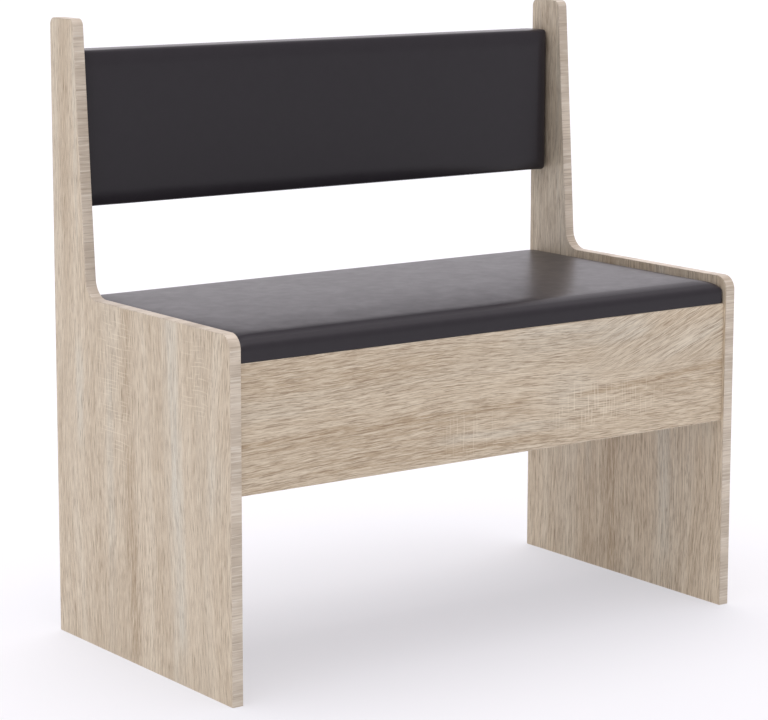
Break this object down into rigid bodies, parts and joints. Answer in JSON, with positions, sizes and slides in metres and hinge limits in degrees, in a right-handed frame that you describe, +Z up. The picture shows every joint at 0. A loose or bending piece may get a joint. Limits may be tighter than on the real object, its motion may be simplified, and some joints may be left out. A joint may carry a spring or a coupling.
{
  "type": "storage bench",
  "caption": "Straight two-seat storage bench: L-shaped side panels, a box with a padded hinged lid for a seat, and a padded backrest.",
  "frame": {"origin": "centre of the bench's footprint on the floor", "axes": "+Z up, -Y towards the sitter's front (the box's front panel faces -Y), +X along the bench to the right seen from the front"},
  "size_m": [0.852, 0.443, 0.853],
  "materials": {
    "oak_laminate": "satin wood-grain melamine laminate",
    "oak_edge_band": "satin wood-grain edge band",
    "black_leatherette": "fine-grained semi-gloss imitation leather",
    "foam": "open-cell foam",
    "raw_chipboard": "raw pressed chips",
    "white_hardboard": "smooth lacquered hardboard",
    "beech": "raw turned wood",
    "cast_zinc": "cast",
    "plated_steel": "bright zinc plating"
  },
  "bodies": {
    "bench_body": {"back_left_dowel": "beech", "back_left_lower_cam": "cast_zinc", "back_left_lower_cam_bolt": "plated_steel", "back_left_upper_cam": "cast_zinc", "back_left_upper_cam_bolt": "plated_steel", "back_panel": "oak_laminate", "back_panel_bottom_band": "oak_edge_band", "back_panel_top_band": "oak_edge_band", "back_right_dowel": "beech", "back_right_lower_cam": "cast_zinc", "back_right_lower_cam_bolt": "plated_steel", "back_right_upper_cam": "cast_zinc", "back_right_upper_cam_bolt": "plated_steel", "backrest_board": "raw_chipboard", "backrest_cover": "black_leatherette", "backrest_foam": "foam", "backrest_left_lower_cam": "cast_zinc", "backrest_left_lower_cam_bolt": "plated_steel", "backrest_left_upper_cam": "cast_zinc", "backrest_left_upper_cam_bolt": "plated_steel", "backrest_right_lower_cam": "cast_zinc", "backrest_right_lower_cam_bolt": "plated_steel", "backrest_right_upper_cam": "cast_zinc", "backrest_right_upper_cam_bolt": "plated_steel", "bottom_board": "white_hardboard", "front_left_dowel": "beech", "front_left_lower_cam": "cast_zinc", "front_left_lower_cam_bolt": "plated_steel", "front_left_upper_cam": "cast_zinc", "front_left_upper_cam_bolt": "plated_steel", "front_panel": "oak_laminate", "front_panel_bottom_band": "oak_edge_band", "front_panel_top_band": "oak_edge_band", "front_right_dowel": "beech", "front_right_lower_cam": "cast_zinc", "front_right_lower_cam_bolt": "plated_steel", "front_right_upper_cam": "cast_zinc", "front_right_upper_cam_bolt": "plated_steel", "left_hinge_fixed_leaf": "plated_steel", "left_hinge_fixed_screw_1": "plated_steel", "left_hinge_fixed_screw_2": "plated_steel", "left_hinge_pin": "plated_steel", "left_side_edge_band": "oak_edge_band", "left_side_panel": "oak_laminate", "right_hinge_fixed_leaf": "plated_steel", "right_hinge_fixed_screw_1": "plated_steel", "right_hinge_fixed_screw_2": "plated_steel", "right_hinge_pin": "plated_steel", "right_side_edge_band": "oak_edge_band", "right_side_panel": "oak_laminate"},
    "seat_lid": {"left_hinge_lid_leaf": "plated_steel", "left_hinge_lid_screw_1": "plated_steel", "left_hinge_lid_screw_2": "plated_steel", "right_hinge_lid_leaf": "plated_steel", "right_hinge_lid_screw_1": "plated_steel", "right_hinge_lid_screw_2": "plated_steel", "seat_board": "raw_chipboard", "seat_cover": "black_leatherette", "seat_foam": "foam"}
  },
  "joints": [
    {"name": "lid_hinge", "type": "hinge", "parent": "bench_body", "child": "seat_lid", "pos_m": [0, 0.1504, 0.4394], "axis": [-1, 0, 0], "range_deg": [0, 85]}
  ]
}
